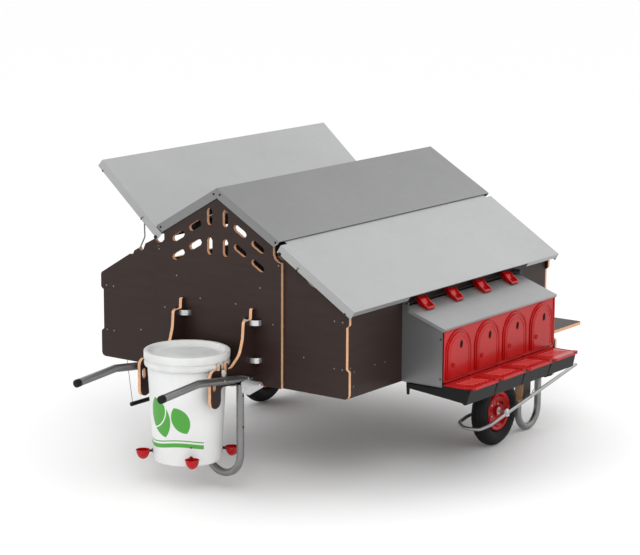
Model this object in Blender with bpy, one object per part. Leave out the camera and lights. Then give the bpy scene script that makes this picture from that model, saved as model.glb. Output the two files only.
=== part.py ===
"""Mobile poultry house on wheelbarrow wheels, with roll-away nests and a drinking bucket.

X runs across the gable, with the nests on the +X side.
Y runs along the ridge, from the handles at -Y to the landing board at +Y.
Z is up, and the wheels stand on Z = 0.  Shapes are drawn with Y = 0 on the front wall
and X = 0 under the ridge, then moved so that the middle of the whole is the origin.
"""

import bpy
import bmesh
from math import atan2, cos, pi, radians, sin, tan
from mathutils import Matrix, Vector

for ob in list(bpy.data.objects):
    bpy.data.objects.remove(ob, do_unlink=True)

GAP = 0.0003            # clearance between touching pieces
PLY = 0.018             # plywood thickness
SHEET = 0.002           # galvanised sheet thickness

# House
HOUSE_LENGTH = 1.990    # front face to rear face
CENTRE_HALF = 0.413     # half width of the centre wall panels
WALL_FACE = 0.810       # outer face of the side walls
TAB_HALF = 0.826        # half width at the corner tabs
WALL_BOTTOM = 0.545
RIDGE = 1.551           # top of the ridge
UPPER_EDGE = 0.406      # half width of the upper roof
UPPER_EDGE_Z = 1.314
FLANGE = 0.046          # depth of the folded roof ends
UPPER_LIP = 0.004       # fold along the upper roof's lower edge

# Roof flaps
PIVOT_X = 0.4105
PIVOT_Z = 1.251
RELIEF = 0.050          # radius cut out of the centre walls round each pivot
WING_RELIEF = 0.034
EAVE = (0.880, 1.009)
FLAP_PITCH = radians(32.03)
FLAP_INNER_X = 0.396    # the sheet's inner edge between the walls
END_REACH = 0.018       # the folded ends reach this far inside the pivot
EAVE_LIP = 0.028
FLAP_FRONT = -0.012
FLAP_REAR = 2.000
FLAP_OPEN = radians(73.2)
PROP_REACH = 0.131      # from the flap's pivot to the prop's hook, along the flap
PROP_RISE = 0.012
PROP_SHAPE = ((-0.003, -0.106), (0.035, -0.176))    # bend and foot, outward and up from the hook
PROP_FOLD = 0.6 * FLAP_OPEN                         # the prop's turn while its flap closes

# Nests
NEST_START = 0.517
NEST_END = 1.636
NESTS = 4
NEST_FACE = 1.062       # inner face of the red front
TRAY_START = 0.500
TRAY_PITCH = 0.2735
TRAY_TOP = 0.562
LID_HINGE = (0.838, 0.961)

# Running gear
WHEEL_R = 0.200
WHEEL_X = 0.812
WHEEL_Y = 1.440
TYRE_R = 0.046
AXLE_R = 0.008
LEVER_R = 0.010
LEVER_PIVOT = (1.700, 0.2355)
TUBE_R = 0.020
LEG_SPAN = 0.217

# Handles, plates and bucket
HANDLE_X = 0.276
HANDLE_END = (-0.785, 0.628)
HANDLE_BEND = (-0.499, 0.650)
HANDLE_ROOT = (-0.088, 0.602)
CAP = 0.014
PLATE_IN = 0.2245
BUCKET_Y = -0.255
BUCKET_BOTTOM = 0.168
BUCKET_TOP = 0.747
RIM_R = 0.223
CUP_R = 0.035
PIN_R = 0.018           # pins that hang the bucket in the plates' forks
PIN_Z = 0.651

BOARD_DEPTH = 0.314     # landing board
BOARD_HALF = 0.868
TRAY_REACH = 1.250      # outer edge of the tray lids

# The left flap's open corner and the handle ends bound the whole.
LEFT = -(WHEEL_X + 0.088)
RIGHT = TRAY_REACH
FRONT = HANDLE_END[0] - CAP - GAP
REAR = HOUSE_LENGTH + 5 * GAP + BOARD_DEPTH
SHIFT = Vector((-(LEFT + RIGHT) / 2, -(FRONT + REAR) / 2, 0.0))


# ---------------------------------------------------------------- materials
def material(name, colour, roughness, metallic=0.0):
    mat = bpy.data.materials.new(name)
    mat.use_nodes = True
    shader = mat.node_tree.nodes["Principled BSDF"]
    shader.inputs["Base Color"].default_value = (*colour, 1.0)
    shader.inputs["Roughness"].default_value = roughness
    shader.inputs["Metallic"].default_value = metallic
    mat.diffuse_color = (*colour, 1.0)
    return mat


PLYWOOD = material("film_plywood", (0.040, 0.022, 0.018), 0.45)
ZINC = material("galvanised_sheet", (0.55, 0.56, 0.57), 0.38, 0.7)
STEEL = material("galvanised_tube", (0.50, 0.51, 0.52), 0.30, 0.9)
RED = material("red_plastic", (0.55, 0.012, 0.010), 0.25)
BLACK = material("black_plastic", (0.010, 0.010, 0.011), 0.40)
RUBBER = material("tyre_rubber", (0.012, 0.012, 0.013), 0.70)
WHITE = material("white_plastic", (0.72, 0.73, 0.72), 0.35)


# ---------------------------------------------------------------- helpers
def place(name, bm, mat, pivot=(0.0, 0.0, 0.0), smooth=False):
    """Turns a bmesh drawn in the house frame into an object whose origin is the pivot."""
    pivot = Vector(pivot)
    bmesh.ops.translate(bm, verts=bm.verts, vec=-pivot)
    bmesh.ops.recalc_face_normals(bm, faces=bm.faces)
    mesh = bpy.data.meshes.new(name)
    bm.to_mesh(mesh)
    bm.free()
    ob = bpy.data.objects.new(name, mesh)
    bpy.context.collection.objects.link(ob)
    ob.location = pivot + SHIFT
    mesh.materials.append(mat)
    if smooth:
        mesh.shade_smooth()
        mesh.set_sharp_from_angle(angle=radians(35))
    return ob


def helper(name, bm):
    """A cutter or an added shape, left out of the model itself."""
    ob = place(name, bm, PLYWOOD)
    ob.hide_render = True
    ob.display_type = "WIRE"
    return ob


def boolean(ob, tool, operation="DIFFERENCE"):
    mod = ob.modifiers.new(tool.name, "BOOLEAN")
    mod.object = tool
    mod.operation = operation
    mod.solver = "EXACT"


def prism(outline, axis, low, high, bm=None):
    """An outline in the two other axes, in their XYZ order, filled from low to high."""
    bm = bm or bmesh.new()
    spots = {
        "X": lambda a, b, c: (c, a, b),
        "Y": lambda a, b, c: (a, c, b),
        "Z": lambda a, b, c: (a, b, c),
    }[axis]
    lower = [bm.verts.new(spots(a, b, low)) for a, b in outline]
    upper = [bm.verts.new(spots(a, b, high)) for a, b in outline]
    count = len(outline)
    bm.faces.new(lower)
    bm.faces.new(list(reversed(upper)))
    for i in range(count):
        j = (i + 1) % count
        bm.faces.new((lower[i], upper[i], upper[j], lower[j]))
    return bm


def box(x, y, z, bm=None):
    """A box from (low, high) pairs."""
    corners = [(x[0], y[0]), (x[1], y[0]), (x[1], y[1]), (x[0], y[1])]
    return prism(corners, "Z", z[0], z[1], bm)


def arc(centre, radius, start, end, steps):
    """Points from start to end, in degrees."""
    turn = [radians(start + (end - start) * i / steps) for i in range(steps + 1)]
    return [(centre[0] + radius * cos(t), centre[1] + radius * sin(t)) for t in turn]


def rounded(corners, steps=3):
    """An outline through (a, b, radius) corners, each radius turned into an arc."""
    out = []
    count = len(corners)
    for i, (a, b, radius) in enumerate(corners):
        if not radius:
            out.append((a, b))
            continue
        here = Vector((a, b))
        before = (Vector(corners[i - 1][:2]) - here).normalized()
        after = (Vector(corners[(i + 1) % count][:2]) - here).normalized()
        half = before.angle(after) / 2
        centre = here + (before + after).normalized() * (radius / sin(half))
        start = here + before * (radius / tan(half)) - centre
        end = here + after * (radius / tan(half)) - centre
        first = atan2(start.y, start.x)
        turn = atan2(end.y, end.x) - first
        turn = (turn + pi) % (2 * pi) - pi
        for k in range(steps + 1):
            t = first + turn * k / steps
            out.append((centre.x + radius * cos(t), centre.y + radius * sin(t)))
    return out


def mirror(outline):
    return [(-a, b) for a, b in reversed(outline)]


def obround(centre, width, length, angle, steps=3):
    """A slot outline, its length turned by angle from the second axis."""
    half = length / 2 - width / 2
    ends = arc((0, half), width / 2, 0, 180, steps) + arc((0, -half), width / 2, 180, 360, steps)
    c, s = cos(angle), sin(angle)
    return [(centre[0] + a * c - b * s, centre[1] + a * s + b * c) for a, b in ends]


def lathe(profile, axis, centre, steps, bm=None):
    """A closed (radius, along) profile turned about an axis through the centre."""
    bm = bm or bmesh.new()
    spots = {
        "X": lambda r, h, t: (h, r * cos(t), r * sin(t)),
        "Z": lambda r, h, t: (r * cos(t), r * sin(t), h),
    }[axis]
    rings = []
    for k in range(steps):
        t = 2 * pi * k / steps
        ring = [Vector(spots(r, h, t)) + Vector(centre) for r, h in profile]
        rings.append(ring)
    poles = {}
    verts = []
    for ring in rings:
        row = []
        for i, (r, h) in enumerate(profile):
            if r < 1e-9:
                if i not in poles:
                    poles[i] = bm.verts.new(ring[i])
                row.append(poles[i])
            else:
                row.append(bm.verts.new(ring[i]))
        verts.append(row)
    count = len(profile)
    for k in range(steps):
        a = verts[k]
        b = verts[(k + 1) % steps]
        for i in range(count):
            j = (i + 1) % count
            face = []
            for v in (a[i], a[j], b[j], b[i]):
                if v not in face:
                    face.append(v)
            if len(face) > 2:
                bm.faces.new(face)
    return bm


def pipe(points, radius, steps=10, bm=None, flat=None):
    """A round bar along a path, mitred at its bends and closed at both ends.

    flat maps a point's index to (across, up) factors that squash its section.
    """
    bm = bm or bmesh.new()
    points = [Vector(p) for p in points]
    flat = flat or {}
    last = len(points) - 1
    side = None
    rings = []
    for i, p in enumerate(points):
        ahead = (points[min(i + 1, last)] - points[max(i, 1) - 1 if i == last else i])
        ahead = ahead.normalized()
        back = (p - points[i - 1]).normalized() if i else ahead
        tangent = (ahead + back).normalized()
        if side is None:
            ref = Vector((1, 0, 0)) if abs(tangent.x) < 0.9 else Vector((0, 0, 1))
            side = (ref - tangent * ref.dot(tangent)).normalized()
        else:
            side = (side - back * side.dot(back)).normalized()
            side = (side - tangent * side.dot(tangent)).normalized()
        up = tangent.cross(side)
        stretch = 1 / max(0.5, tangent.dot(ahead))
        across, high = flat.get(i, (1, 1))
        ring = []
        bend = ahead - back
        for k in range(steps):
            t = 2 * pi * k / steps
            off = side * (radius * across * cos(t)) + up * (radius * high * sin(t))
            if bend.length > 1e-6:
                way = bend.normalized()
                off = off + way * off.dot(way) * (stretch - 1)
            ring.append(bm.verts.new(p + off))
        rings.append(ring)
    bm.faces.new(rings[0])
    bm.faces.new(list(reversed(rings[-1])))
    for a, b in zip(rings, rings[1:]):
        for k in range(steps):
            j = (k + 1) % steps
            bm.faces.new((a[k], a[j], b[j], b[k]))
    return bm


def bends(corners, steps=3):
    """A 3-D path through (x, y, z, radius) corners with round bends."""
    out = []
    last = len(corners) - 1
    for i, (x, y, z, radius) in enumerate(corners):
        here = Vector((x, y, z))
        if not radius or i in (0, last):
            out.append(here)
            continue
        a = (Vector(corners[i - 1][:3]) - here).normalized()
        b = (Vector(corners[i + 1][:3]) - here).normalized()
        half = a.angle(b) / 2
        reach = radius / tan(half)
        centre = here + (a + b).normalized() * (radius / sin(half))
        start = here + a * reach - centre
        end = here + b * reach - centre
        turn = Matrix.Rotation(start.angle(end) / steps, 3, start.cross(end))
        for _ in range(steps + 1):
            out.append(centre + start)
            start = turn @ start
    return out


def flip(points, side):
    """A path mirrored to the given side, +1 or -1."""
    return [(p[0] * side, *p[1:]) for p in points]


def sides():
    return (("right", 1), ("left", -1))


def slope_z(x):
    """Height of the upper roof's top surface."""
    return RIDGE - (RIDGE - UPPER_EDGE_Z) / UPPER_EDGE * abs(x)


# ---------------------------------------------------------------- walls
def flap_z(x):
    """Height of the closed flap's top surface."""
    return EAVE[1] + (EAVE[0] - x) * tan(FLAP_PITCH)


def end_corner():
    """Top inner corner of the closed flap's folded ends."""
    rise = (flap_z(PIVOT_X) - PIVOT_Z) * cos(FLAP_PITCH)
    return (PIVOT_X - END_REACH * cos(FLAP_PITCH) + rise * sin(FLAP_PITCH),
            PIVOT_Z + END_REACH * sin(FLAP_PITCH) + rise * cos(FLAP_PITCH))


def centre_outline():
    """Gable panel with a round relief at each flap pivot."""
    under_roof = RIDGE - SHEET / cos(radians(30)) - 4 * GAP
    top = slope_z(PIVOT_X - RELIEF) - (RIDGE - under_roof)
    low = atan2(-(RELIEF ** 2 - (CENTRE_HALF - PIVOT_X) ** 2) ** 0.5, CENTRE_HALF - PIVOT_X)
    right = [(CENTRE_HALF, WALL_BOTTOM)]
    right += arc((PIVOT_X, PIVOT_Z), RELIEF, low * 180 / pi, -180, 8)
    right += [(PIVOT_X - RELIEF, top)]
    return right + [(0.0, under_roof)] + mirror(right)


def vents(y, z_shift=0.0):
    """Twelve slots under the gable; the outer ones follow the roof's slope."""
    bm = bmesh.new()
    lean = radians(60)
    for side in (1, -1):
        slots = [
            (0.052, 1.396, 0), (0.052, 1.241, 0),
            (0.148, 1.339, lean), (0.148, 1.239, lean),
            (0.263, 1.270, lean), (0.263, 1.172, lean),
        ]
        for x, z, turn in slots:
            outline = obround((side * x, z + z_shift), 0.034, 0.093, side * turn)
            prism(outline, "Y", y[0], y[1], bm)
    return bm


def centre_panels():
    front = place("front_centre_panel", prism(centre_outline(), "Y", 0, PLY), PLYWOOD)
    boolean(front, helper("front_vents", vents((-0.01, PLY + 0.01))))
    rear_y = (HOUSE_LENGTH - 2 * PLY, HOUSE_LENGTH - PLY - GAP)
    rear = place("rear_centre_panel", prism(centre_outline(), "Y", *rear_y), PLYWOOD)
    holes = vents((rear_y[0] - 0.01, rear_y[1] + 0.01))
    door = [(-0.20, 0.62, 0.03), (0.20, 0.62, 0.03), (0.20, 1.00, 0.03), (-0.20, 1.00, 0.03)]
    prism(rounded(door), "Y", rear_y[0] - 0.01, rear_y[1] + 0.01, holes)
    boolean(rear, helper("rear_holes", holes))


def wing_outline(skirt):
    """Right-hand wing; a skirt adds the rear wing's extension for the leg."""
    if skirt:
        low = [
            (0.345, WALL_BOTTOM, 0), (0.700, WALL_BOTTOM, 0), (0.715, 0.285, 0.05),
            (0.885, 0.285, 0.06), (0.885, 0.515, 0.012), (TAB_HALF, WALL_BOTTOM, 0),
        ]
    else:
        low = [(0.345, WALL_BOTTOM, 0), (TAB_HALF, WALL_BOTTOM, 0.022)]
    edge = low + [
        (TAB_HALF, 0.688, 0.010), (0.8086, 0.700, 0), (0.8086, 0.916, 0),
        (TAB_HALF, 0.928, 0.010), (TAB_HALF, 1.003, 0.012), (0.819, 1.012, 0),
        (0.619, 1.133, 0), (0.596, 1.134, 0.004), (0.585, 1.156, 0),
        (0.546, 1.178, 0.004), (0.538, 1.159, 0.003), (0.522, 1.168, 0.003),
        (0.508, 1.201, 0.005), (0.441, 1.236, 0.003),
    ]
    return rounded(edge, 2) + arc((PIVOT_X, PIVOT_Z), WING_RELIEF, -24, -150, 7) + [(0.345, 1.225)]


def wings():
    spans = {
        "front": (PLY + GAP, 2 * PLY),
        "rear": (HOUSE_LENGTH - PLY, HOUSE_LENGTH),
    }
    for end, span in spans.items():
        outline = wing_outline(end == "rear")
        for name, side in sides():
            shape = outline if side > 0 else mirror(outline)
            place(f"{end}_wing_{name}", prism(shape, "Y", *span), PLYWOOD)


def side_walls():
    span = (2 * PLY + GAP, HOUSE_LENGTH - PLY - GAP)
    pitch = (NEST_END - NEST_START) / NESTS
    for name, side in sides():
        x = sorted((side * WALL_FACE, side * (WALL_FACE - PLY)))
        wall = place(f"side_wall_{name}", box(x, span, (WALL_BOTTOM, 1.006)), PLYWOOD)
        if side > 0:
            cut = bmesh.new()
            for i in range(NESTS):
                y = NEST_START + (i + 0.5) * pitch
                hole = [(y - 0.10, 0.60, 0.02), (y + 0.10, 0.60, 0.02),
                        (y + 0.10, 0.84, 0.09), (y - 0.10, 0.84, 0.09)]
                prism(rounded(hole, 4), "X", x[0] - 0.01, x[1] + 0.01, cut)
            boolean(wall, helper("nest_doorways", cut))


def floor():
    x = WALL_FACE - PLY - GAP
    y = (2 * PLY + GAP, HOUSE_LENGTH - 2 * PLY - GAP)
    place("floor_panel", box((-x, x), y, (0.552, 0.552 + PLY)), PLYWOOD)


# ---------------------------------------------------------------- roof
def tray(start, end, y, depth, lip=0.0):
    """A sheet from start to end in XZ with folded ends, and a lip at the outer edge.

    The folds hang at right angles to the sheet.
    """
    a = Vector(start)
    b = Vector(end)
    along = (b - a).normalized()
    down = Vector((along.y, -along.x))
    if down.y > 0:
        down = -down
    outer = [a, b, b + down * depth, a + down * depth]
    inner_b = b - along * (SHEET if lip else -0.01)
    deep = depth + 0.01
    hollow = [a + down * SHEET - along * 0.01, inner_b + down * SHEET,
              inner_b + down * deep, a + down * deep - along * 0.01]
    body = prism([tuple(p) for p in outer], "Y", *y)
    cuts = [prism([tuple(p) for p in hollow], "Y", y[0] + SHEET, y[1] - SHEET)]
    if lip:
        # Along the eave the fold is shallower than the ends.
        low = [b - along * 0.01 + down * lip, b + along * 0.01 + down * lip,
               b + along * 0.01 + down * deep, b - along * 0.01 + down * deep]
        cuts.append(prism([tuple(p) for p in low], "Y", y[0] + SHEET, y[1] - SHEET))
    return body, cuts


def upper_roof():
    for name, side in sides():
        start = (side * GAP, slope_z(0))
        end = (side * UPPER_EDGE, UPPER_EDGE_Z)
        body, cuts = tray(start, end, (-0.006, 1.998), FLANGE, UPPER_LIP)
        # The folded ends are cut plumb at the ridge, where the two sides meet.
        cuts.append(box(sorted((side * GAP, -side * 0.1)), (-0.1, 2.1), (1.4, 1.6)))
        # Their lower corners are cut back to clear the open flap.
        inner = end_corner()
        low = Vector(turned((side * inner[0], inner[1]), side))
        way = (Vector(turned((side * EAVE[0], EAVE[1]), side)) - low).normalized()
        out = Vector((side * way.y, -side * way.x))
        out = -out if out.y < 0 else out
        edge = low + out * 0.0030
        corners = [edge - way * 0.03, edge + way * 0.15, edge + way * 0.15 - out * 0.1,
                   edge - way * 0.03 - out * 0.1]
        cuts.append(prism([tuple(p) for p in corners], "Y", -0.1, 2.1))
        sweep = arc((side * PIVOT_X, PIVOT_Z), 0.0487, 0, 345, 23)
        cuts.append(prism(sweep, "Y", -0.1, 2.1))
        ob = place(f"roof_upper_{name}", body, ZINC)
        for i, cut in enumerate(cuts):
            boolean(ob, helper(f"upper_cut_{name}_{i}", cut))


def turned(point, side):
    """A point of the closed flap after it is opened."""
    x = point[0] - side * PIVOT_X
    z = point[1] - PIVOT_Z
    t = side * FLAP_OPEN
    return (side * PIVOT_X + x * cos(t) - z * sin(t), PIVOT_Z + x * sin(t) + z * cos(t))


def flaps():
    for name, side in sides():
        start = (side * FLAP_INNER_X, flap_z(FLAP_INNER_X))
        end = (side * EAVE[0], EAVE[1])
        body, cuts = tray(start, end, (FLAP_FRONT, FLAP_REAR), FLANGE, EAVE_LIP)
        # Over the walls the inner edge stops short, so that it turns inside the reliefs.
        along = (Vector(end) - Vector(start)).normalized()
        down = Vector((side * along.y, -side * along.x))
        top = Vector((side * end_corner()[0], end_corner()[1]))
        notch = [top - down * 0.02, top + down * 0.08, top + down * 0.08 - along * 0.05,
                 top - down * 0.02 - along * 0.05]
        notch = [tuple(p) for p in notch]
        cuts.append(prism(notch, "Y", FLAP_FRONT - 0.01, 0.045))
        cuts.append(prism(notch, "Y", HOUSE_LENGTH - 0.045, FLAP_REAR + 0.01))
        ring = arc(hook_spot(side), 0.0048, 0, 330, 11)
        cuts.append(prism(ring, "Y", FLAP_FRONT - 0.01, FLAP_FRONT + 0.01))
        if side > 0:
            # The lip stops where the nests begin.
            gap = (NEST_START - 0.03, NEST_END + 0.03)
            cuts.append(box((0.86, 0.90), gap, (0.95, EAVE[1] - 0.004)))
        pivot = (side * PIVOT_X, FLAP_FRONT, PIVOT_Z)
        ob = place(f"roof_flap_{name}", body, ZINC, pivot)
        for i, cut in enumerate(cuts):
            tool = helper(f"flap_cut_{name}_{i}", cut)
            tool.parent = ob
            tool.matrix_parent_inverse = Matrix.Translation(-(Vector(pivot) + SHIFT))
            boolean(ob, tool)
        if side < 0:
            ob.rotation_euler = (0, FLAP_OPEN, 0)


def hook_spot(side):
    """Where the prop hooks into the closed flap's front fold."""
    x = PIVOT_X + PROP_REACH * cos(FLAP_PITCH) + PROP_RISE * sin(FLAP_PITCH)
    z = PIVOT_Z - PROP_REACH * sin(FLAP_PITCH) + PROP_RISE * cos(FLAP_PITCH)
    return (side * x, z)


def props():
    """Wire props: upright under the open flap, folded along the closed one."""
    for name, side in sides():
        y = 0.004
        hook = turned(hook_spot(side), side) if side < 0 else hook_spot(side)
        fold = 0.0 if side < 0 else PROP_FOLD
        spots = []
        for x, z in PROP_SHAPE:
            spots.append((hook[0] + side * (x * cos(fold) - z * sin(fold)),
                          hook[1] + x * sin(fold) + z * cos(fold)))
        bend, foot = spots
        path = [
            (hook[0], FLAP_FRONT - 0.008, hook[1], 0),
            (hook[0], y, hook[1], 0.008),
            (bend[0], y, bend[1], 0.020),
            (foot[0], y, foot[1], 0),
        ]
        bm = pipe(bends(path), 0.004, 8)
        place(f"prop_rod_{name}", bm, STEEL, (hook[0], y, hook[1]), True)


# ---------------------------------------------------------------- nests
def nest_sides():
    for name, y in (("front", NEST_START), ("rear", NEST_END - SHEET)):
        outline = [
            (WALL_FACE + GAP, WALL_BOTTOM), (NEST_FACE - GAP, WALL_BOTTOM),
            (NEST_FACE - GAP, 0.852), (0.8515, 0.926), (0.8495, 0.970), (WALL_FACE + GAP, 0.972),
        ]
        ob = place(f"nest_side_{name}", prism(outline, "Y", y, y + SHEET), ZINC)
        hole = arc(LID_HINGE, 0.0045, 0, 330, 11)
        boolean(ob, helper(f"rod_hole_{name}", prism(hole, "Y", y - 0.01, y + 0.01)))


def nest_front():
    """Red moulded front: a flat panel with four raised arches and their peep holes."""
    y = (NEST_START, NEST_END)
    body = box((NEST_FACE, NEST_FACE + 0.006), y, (0.566, 0.851))
    ob = place("nest_front", body, RED)
    arches = bmesh.new()
    holes = bmesh.new()
    pitch = (NEST_END - NEST_START) / NESTS
    for i in range(NESTS):
        mid = NEST_START + (i + 0.5) * pitch
        top = arc((mid, 0.718), 0.112, 0, 180, 8)
        outline = [(mid + 0.112, 0.580)] + top + [(mid - 0.112, 0.580)]
        prism(outline, "X", NEST_FACE + 0.003, NEST_FACE + 0.016, arches)
        prism(obround((mid + 0.012, 0.762), 0.014, 0.034, 0, 3), "X",
              NEST_FACE - 0.01, NEST_FACE + 0.03, holes)
    boolean(ob, helper("nest_arches", arches), "UNION")
    boolean(ob, helper("peep_holes", holes))


def nest_lid():
    """Sheet lid over the nests, with folded ends and a front lip."""
    y = (NEST_START - 0.008, NEST_END + 0.008)
    start = (0.828, 0.9431)
    end = (1.080, 0.8570)
    body, cuts = tray(start, end, y, 0.018, 0.012)
    pivot = (LID_HINGE[0], NEST_START, LID_HINGE[1])
    ob = place("nest_lid", body, ZINC, pivot)
    for i, cut in enumerate(cuts):
        boolean(ob, helper(f"lid_cut_{i}", cut))
    # The upper corners are notched to pass between the ears that hold the rod.
    for i, (low, high) in enumerate(((y[0] - 0.01, NEST_START + SHEET + 0.001),
                                     (NEST_END - SHEET - 0.001, y[1] + 0.01))):
        boolean(ob, helper(f"lid_notch_{i}", box((0.80, 0.8545), (low, high), (0.90, 1.0))))


def lid_rod_and_clips():
    rod = (NEST_START - 0.006, NEST_END + 0.006)
    points = [(LID_HINGE[0], y, LID_HINGE[1]) for y in rod]
    place("nest_lid_rod", pipe(points, 0.004, 8), BLACK, smooth=True)
    pitch = (NEST_END - NEST_START) / NESTS
    x, z = LID_HINGE
    for i in range(NESTS):
        mid = NEST_START + (i + 0.46) * pitch
        # A hook open at the top holds the rod; its foot lies on the lid.
        outline = [(x - 0.010, z - 0.010), (x + 0.012, z - 0.014), (0.862, 0.9345),
                   (0.900, 0.9220), (0.902, 0.9270), (0.866, 0.9430), (x + 0.012, z + 0.008)]
        outline += [(x + 0.0045, z + 0.008)] + arc((x, z), 0.0045, 0, -180, 6)
        outline += [(x - 0.0045, z + 0.008), (x - 0.010, z + 0.008)]
        bm = prism(outline, "Y", mid - 0.036, mid + 0.036)
        place(f"lid_clip_{i + 1}", bm, RED, (x, mid, z))


def egg_trays():
    """Black trays under the nests; eggs roll down to the part under the red lids."""
    outer = [
        (0.852, 0.520), (1.090, 0.498), (1.194, 0.488), (1.208, 0.479), (1.222, 0.482),
        (1.240, TRAY_TOP), (1.074, TRAY_TOP), (1.070, 0.5430), (0.852, 0.5430),
    ]
    inner = [
        (0.856, 0.524), (1.090, 0.502), (1.194, 0.492), (1.208, 0.484), (1.218, 0.486),
        (1.236, TRAY_TOP + 0.01), (0.856, TRAY_TOP + 0.01),
    ]
    for i in range(NESTS):
        y = (TRAY_START + i * TRAY_PITCH + 0.001, TRAY_START + (i + 1) * TRAY_PITCH - 0.006)
        ob = place(f"egg_tray_{i + 1}", prism(outer, "Y", *y), BLACK)
        cut = prism(inner, "Y", y[0] + 0.004, y[1] - 0.004)
        boolean(ob, helper(f"tray_hollow_{i + 1}", cut))
        corner = [(1.215, y[0] - 0.01), (1.26, y[0] - 0.01), (1.26, y[0] + 0.035)]
        boolean(ob, helper(f"tray_corner_{i + 1}", prism(corner, "Z", 0.45, 0.60)))


def tray_lids():
    """Slotted red lids over the egg trays, hinged at the foot of the nest front."""
    z = (TRAY_TOP + 0.0015, TRAY_TOP + 0.0055)
    for i in range(NESTS):
        y0 = TRAY_START + i * TRAY_PITCH
        y1 = y0 + TRAY_PITCH - 0.004
        outline = rounded([
            (1.0805, y0, 0), (1.205, y0, 0.012), (TRAY_REACH, y0 + 0.045, 0.02),
            (TRAY_REACH, y1, 0.008), (1.0805, y1, 0),
        ])
        slots = bmesh.new()
        for k in range(5):
            spot = (1.162, y0 + 0.085 + 0.032 * k)
            prism(obround(spot, 0.007, 0.098, radians(-72), 1), "Z", z[0] - 0.01, z[1] + 0.01, slots)
        pivot = (1.0805, (y0 + y1) / 2, z[1])
        ob = place(f"tray_lid_{i + 1}", prism(outline, "Z", *z), RED, pivot)
        boolean(ob, helper(f"lid_slots_{i + 1}", slots))


# ---------------------------------------------------------------- running gear
def wheels():
    """Pneumatic tyres on pressed rims, turning on the levers' axles."""
    seat = 0.1125
    mid = WHEEL_R - TYRE_R
    tyre = [(mid + TYRE_R * cos(t), TYRE_R * sin(t)) for t in
            [radians(-150 + 300 * k / 9) for k in range(10)]]
    tyre += [(seat + GAP, 0.022), (seat + GAP, -0.022)]
    rim = [
        (AXLE_R + 0.0006, -0.030), (0.022, -0.030), (0.024, -0.006), (0.060, -0.004),
        (0.088, -0.020), (0.092, -0.032), (seat - 0.001, -0.034), (seat - 0.001, 0.034),
        (0.092, 0.032), (0.088, 0.006), (0.060, 0.004), (0.024, 0.006), (0.022, 0.030),
        (AXLE_R + 0.0006, 0.030),
    ]
    for name, side in sides():
        centre = (side * WHEEL_X, WHEEL_Y, WHEEL_R)
        place(f"tyre_{name}", lathe(tyre, "X", centre, 24), RUBBER, centre, True)
        shape = [(r, side * h) for r, h in rim]
        place(f"rim_{name}", lathe(shape, "X", centre, 24), RED, centre, True)


def levers():
    """Wheel lever: one bar bent round the front of the wheel, with the axle across it."""
    out = WHEEL_X + 0.078
    for name, side in sides():
        path = [
            (out, 2.211, 0.327, 0), (out, 1.275, 0.1590, 0.05), (out - 0.012, 1.185, 0.152, 0.03),
            (WHEEL_X, 1.125, 0.160, 0.05), (WHEEL_X - 0.066, 1.185, 0.172, 0.03),
            (WHEEL_X - 0.074, 1.275, 0.184, 0.05), (WHEEL_X - 0.074, 1.520, 0.200, 0),
        ]
        pivot = (side * out, *LEVER_PIVOT)
        ob = place(f"wheel_lever_{name}", pipe(bends(flip(path, side), 2), LEVER_R, 8),
                   STEEL, pivot, True)
        axle = [(side * (WHEEL_X - 0.078), WHEEL_Y, WHEEL_R), (side * (out + 0.004), WHEEL_Y, WHEEL_R)]
        pin = [(side * (out - 0.060), *LEVER_PIVOT), (side * out, *LEVER_PIVOT)]
        extra = pipe(axle, AXLE_R, 12)
        pipe(pin, 0.006, 10, extra)
        boolean(ob, helper(f"axle_{name}", extra), "UNION")


def lever_plates():
    """Plywood blocks outside the side walls that carry the lever pivots."""
    outline = rounded([
        (1.645, 0.640, 0.02), (1.645, 0.380, 0.08), (1.672, 0.310, 0.05), (1.655, 0.205, 0.02),
        (1.745, 0.205, 0.02), (1.745, 0.640, 0.02),
    ])
    for name, side in sides():
        x = sorted((side * (WALL_FACE + GAP), side * (WALL_FACE + 3 * PLY)))
        ob = place(f"lever_plate_{name}", prism(outline, "X", *x), PLYWOOD)
        hole = arc(LEVER_PIVOT, 0.0068, 0, 330, 11)
        boolean(ob, helper(f"pivot_hole_{name}", prism(hole, "X", x[0] - 0.01, x[1] + 0.01)))


def rear_legs():
    """U-shaped tube legs between the lever blocks and the rear wings."""
    rear = HOUSE_LENGTH - PLY - GAP - TUBE_R
    front = rear - LEG_SPAN
    r = LEG_SPAN / 2
    for name, side in sides():
        x = side * (WALL_FACE - TUBE_R)
        path = [(x, front, 0.542, 0), (x, front, TUBE_R, r - 0.001),
                (x, rear, TUBE_R, r - 0.001), (x, rear, 0.440, 0)]
        place(f"rear_leg_{name}", pipe(bends(path, 6), TUBE_R, 10), STEEL, smooth=True)


def front_leg():
    """One U-shaped leg under the right handle, its free branch below the bucket."""
    y = -0.165
    bottom = 0.079 + TUBE_R
    r = LEG_SPAN / 2
    centre = Vector((HANDLE_X - r, y, bottom + r))
    turn = [radians(-142 * k / 10) for k in range(11)]
    points = [Vector((HANDLE_X, y, 0.583))] + [centre + Vector((r * cos(t), 0, r * sin(t))) for t in turn]
    place("front_leg", pipe(points, TUBE_R, 10), STEEL, smooth=True)


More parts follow.
